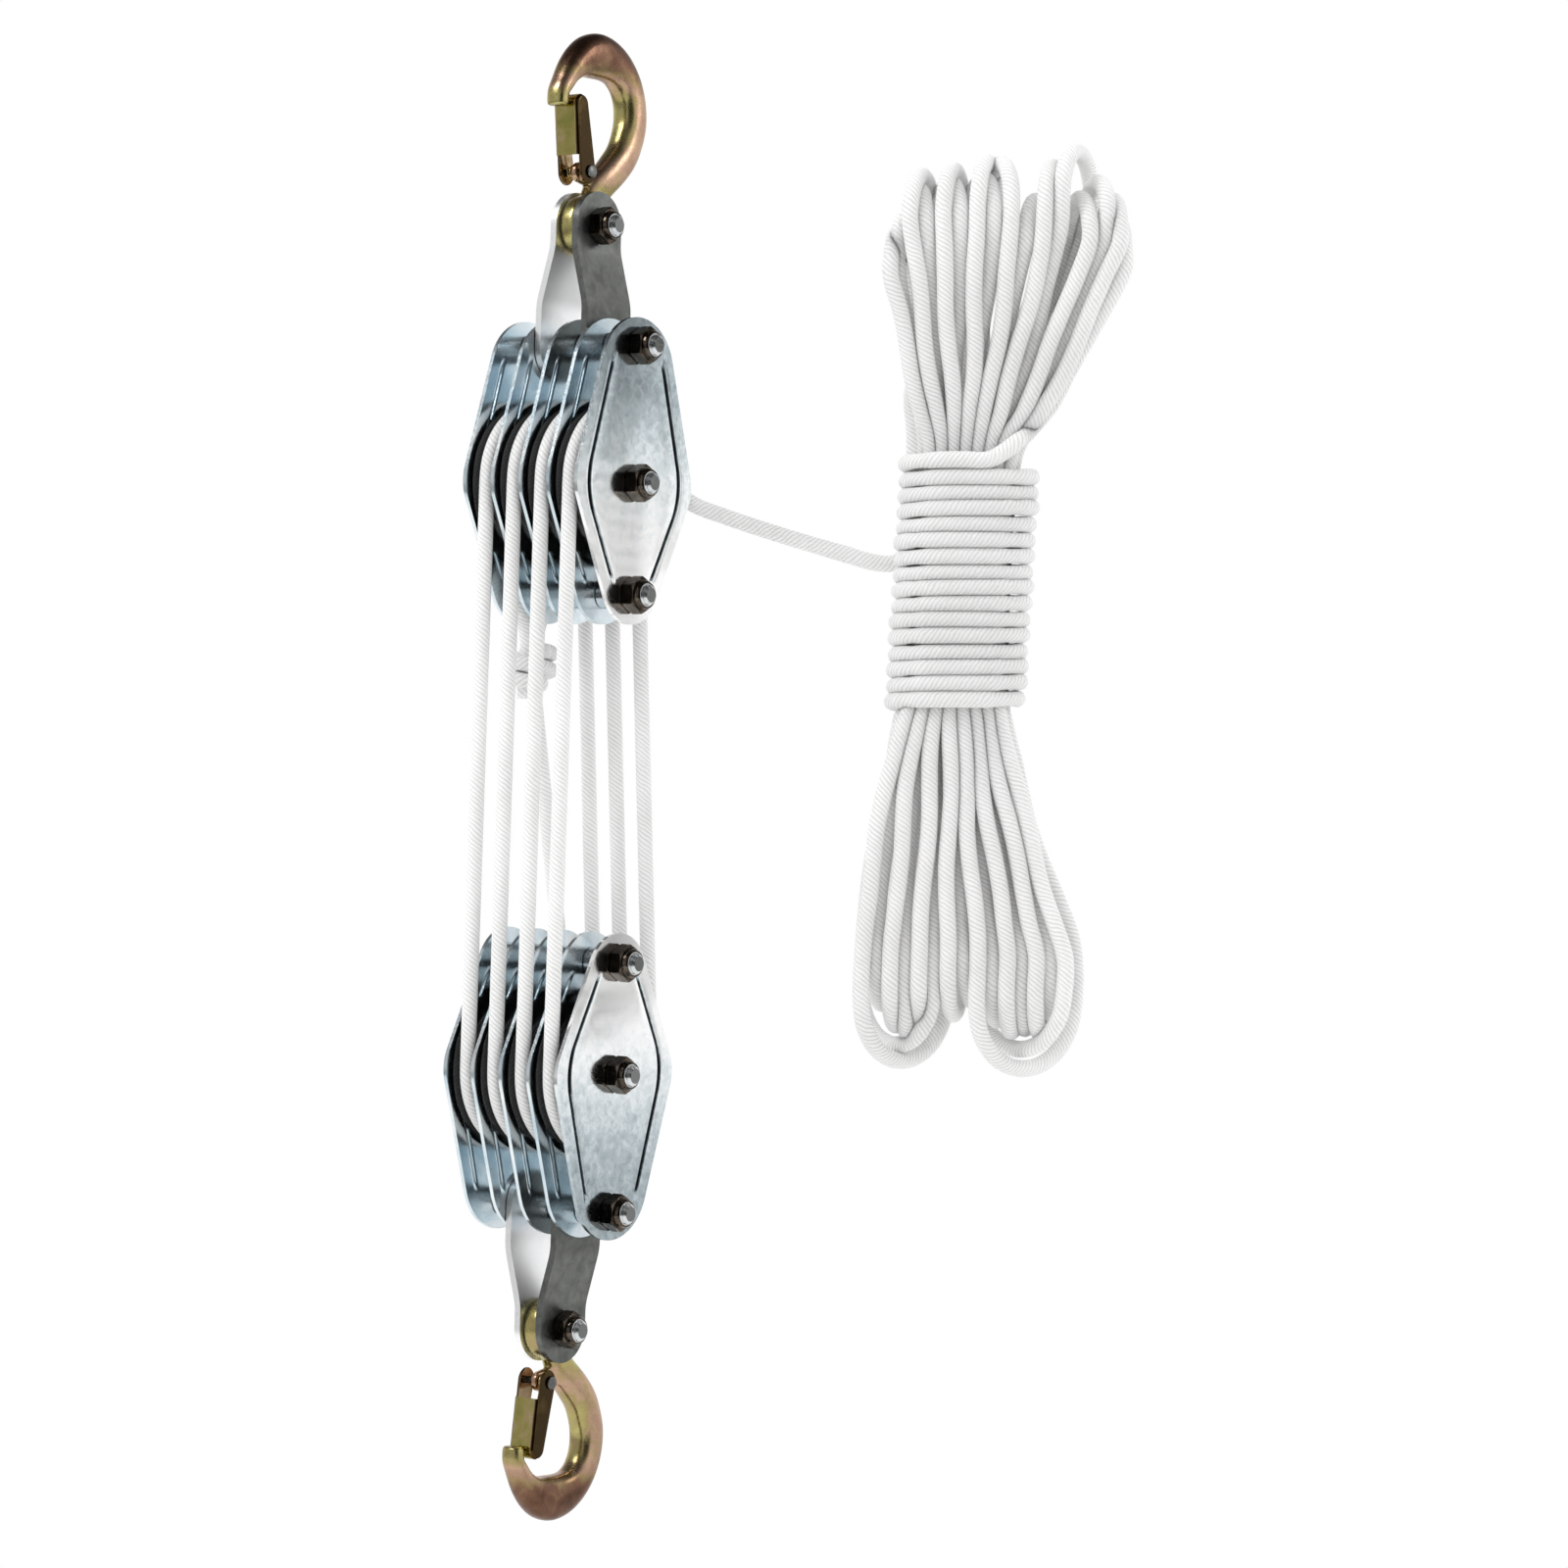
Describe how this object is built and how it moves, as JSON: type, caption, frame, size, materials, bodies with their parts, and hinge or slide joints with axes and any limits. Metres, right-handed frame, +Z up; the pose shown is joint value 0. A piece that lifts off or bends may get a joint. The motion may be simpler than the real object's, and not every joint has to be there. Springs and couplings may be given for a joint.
{
  "type": "block and tackle",
  "caption": "Rope hoist: upper and lower sheaved blocks with latched eye hooks, rope reeved between them, and the hauling end made up into a hank.",
  "frame": {"origin": "saddle of the upper hook, where the tackle hangs: the inner crown of its bowl", "axes": "+X along the sheave axles towards the nuts, -Y towards the mouths of the hooks, +Z up along the tackle"},
  "size_m": [0.207, 0.1753, 0.585],
  "materials": {
    "bright_zinc": "bright zinc plating, smooth and nearly mirror-like",
    "dull_zinc": "bright zinc plating, satin",
    "yellow_zinc": "yellow chromate zinc with pink and olive tints",
    "yellow_sheet": "yellow chromate zinc on pressed sheet",
    "spring_wire": "yellow chromate zinc on wire",
    "nut_steel": "zinc plating with dark reflections",
    "black_sheave": "moulded, satin black",
    "grey_rope": "braided synthetic rope, pale grey"
  },
  "bodies": {
    "upper_hook": {"upper_hook": "yellow_zinc", "upper_latch_pin": "dull_zinc", "upper_latch_spring": "spring_wire", "hank_loops": "grey_rope", "hank_wraps": "grey_rope"},
    "upper_latch": {"upper_latch": "yellow_sheet"},
    "upper_block": {"upper_front_strap": "dull_zinc", "upper_rear_strap": "dull_zinc", "upper_cheek_plate_1": "bright_zinc", "upper_cheek_plate_2": "bright_zinc", "upper_cheek_plate_3": "bright_zinc", "upper_cheek_plate_4": "bright_zinc", "upper_cheek_plate_5": "bright_zinc", "upper_eye_bolt": "dull_zinc", "upper_eye_nut": "nut_steel", "upper_hook_side_bolt": "dull_zinc", "upper_hook_side_nut": "nut_steel", "upper_axle_bolt": "dull_zinc", "upper_axle_nut": "nut_steel", "upper_rope_side_bolt": "dull_zinc", "upper_rope_side_nut": "nut_steel", "rope_reeving": "grey_rope", "rope_end_knot": "grey_rope", "rope_tail": "grey_rope"},
    "lower_block": {"lower_front_strap": "dull_zinc", "lower_rear_strap": "dull_zinc", "lower_cheek_plate_1": "bright_zinc", "lower_cheek_plate_2": "bright_zinc", "lower_cheek_plate_3": "bright_zinc", "lower_cheek_plate_4": "bright_zinc", "lower_cheek_plate_5": "bright_zinc", "lower_eye_bolt": "dull_zinc", "lower_eye_nut": "nut_steel", "lower_hook_side_bolt": "dull_zinc", "lower_hook_side_nut": "nut_steel", "lower_axle_bolt": "dull_zinc", "lower_axle_nut": "nut_steel", "lower_rope_side_bolt": "dull_zinc", "lower_rope_side_nut": "nut_steel"},
    "lower_hook": {"lower_hook": "yellow_zinc", "lower_latch_pin": "dull_zinc", "lower_latch_spring": "spring_wire"},
    "lower_latch": {"lower_latch": "yellow_sheet"},
    "upper_sheave_1": {"upper_sheave_1": "black_sheave"},
    "upper_sheave_2": {"upper_sheave_2": "black_sheave"},
    "upper_sheave_3": {"upper_sheave_3": "black_sheave"},
    "upper_sheave_4": {"upper_sheave_4": "black_sheave"},
    "lower_sheave_1": {"lower_sheave_1": "black_sheave"},
    "lower_sheave_2": {"lower_sheave_2": "black_sheave"},
    "lower_sheave_3": {"lower_sheave_3": "black_sheave"},
    "lower_sheave_4": {"lower_sheave_4": "black_sheave"}
  },
  "joints": [
    {"name": "upper_block_swing", "type": "hinge", "parent": "upper_hook", "child": "upper_block", "pos_m": [0, 0, -0.0625], "axis": [1, 0, 0], "range_deg": [-90, 90], "deforming": ["rope_tail"]},
    {"name": "upper_latch_hinge", "type": "hinge", "parent": "upper_hook", "child": "upper_latch", "pos_m": [0, -0.0055, -0.0417], "axis": [-1, 0, 0], "range_deg": [0, 50], "stiffness_Nm_per_rad": 0.02, "springref_deg": -28.65, "deforming": ["upper_latch_spring"]},
    {"name": "lower_block_lift", "type": "slide", "parent": "upper_block", "child": "lower_block", "axis": [0, 0, 1], "range_m": [0, 0.085], "deforming": ["rope_reeving"]},
    {"name": "lower_hook_swing", "type": "hinge", "parent": "lower_block", "child": "lower_hook", "pos_m": [0, 0, -0.4945], "axis": [1, 0, 0], "range_deg": [-90, 90]},
    {"name": "lower_latch_hinge", "type": "hinge", "parent": "lower_hook", "child": "lower_latch", "pos_m": [0, -0.0055, -0.5153], "axis": [1, 0, 0], "range_deg": [0, 50], "stiffness_Nm_per_rad": 0.02, "springref_deg": -28.65, "deforming": ["lower_latch_spring"]},
    {"name": "lower_sheave_1_spin", "type": "hinge", "parent": "lower_block", "child": "lower_sheave_1", "pos_m": [-0.021, 0, -0.3935], "axis": [1, 0, 0], "continuous": true},
    {"name": "upper_sheave_1_spin", "type": "hinge", "parent": "upper_block", "child": "upper_sheave_1", "pos_m": [-0.021, 0, -0.1635], "axis": [1, 0, 0], "continuous": true},
    {"name": "lower_sheave_2_spin", "type": "hinge", "parent": "lower_block", "child": "lower_sheave_2", "pos_m": [-0.007, 0, -0.3935], "axis": [1, 0, 0], "continuous": true},
    {"name": "upper_sheave_2_spin", "type": "hinge", "parent": "upper_block", "child": "upper_sheave_2", "pos_m": [-0.007, 0, -0.1635], "axis": [1, 0, 0], "continuous": true},
    {"name": "lower_sheave_3_spin", "type": "hinge", "parent": "lower_block", "child": "lower_sheave_3", "pos_m": [0.007, 0, -0.3935], "axis": [1, 0, 0], "continuous": true},
    {"name": "upper_sheave_3_spin", "type": "hinge", "parent": "upper_block", "child": "upper_sheave_3", "pos_m": [0.007, 0, -0.1635], "axis": [1, 0, 0], "continuous": true},
    {"name": "lower_sheave_4_spin", "type": "hinge", "parent": "lower_block", "child": "lower_sheave_4", "pos_m": [0.021, 0, -0.3935], "axis": [1, 0, 0], "continuous": true},
    {"name": "upper_sheave_4_spin", "type": "hinge", "parent": "upper_block", "child": "upper_sheave_4", "pos_m": [0.021, 0, -0.1635], "axis": [1, 0, 0], "continuous": true}
  ],
  "couplings": [
    {"joint": "lower_sheave_1_spin", "follows": "lower_block_lift", "rad_per_m": -33.333},
    {"joint": "upper_sheave_1_spin", "follows": "lower_block_lift", "rad_per_m": -66.667},
    {"joint": "lower_sheave_2_spin", "follows": "lower_block_lift", "rad_per_m": -100},
    {"joint": "upper_sheave_2_spin", "follows": "lower_block_lift", "rad_per_m": -133.33},
    {"joint": "lower_sheave_3_spin", "follows": "lower_block_lift", "rad_per_m": -166.67},
    {"joint": "upper_sheave_3_spin", "follows": "lower_block_lift", "rad_per_m": -200},
    {"joint": "lower_sheave_4_spin", "follows": "lower_block_lift", "rad_per_m": -233.33},
    {"joint": "upper_sheave_4_spin", "follows": "lower_block_lift", "rad_per_m": -266.67}
  ]
}
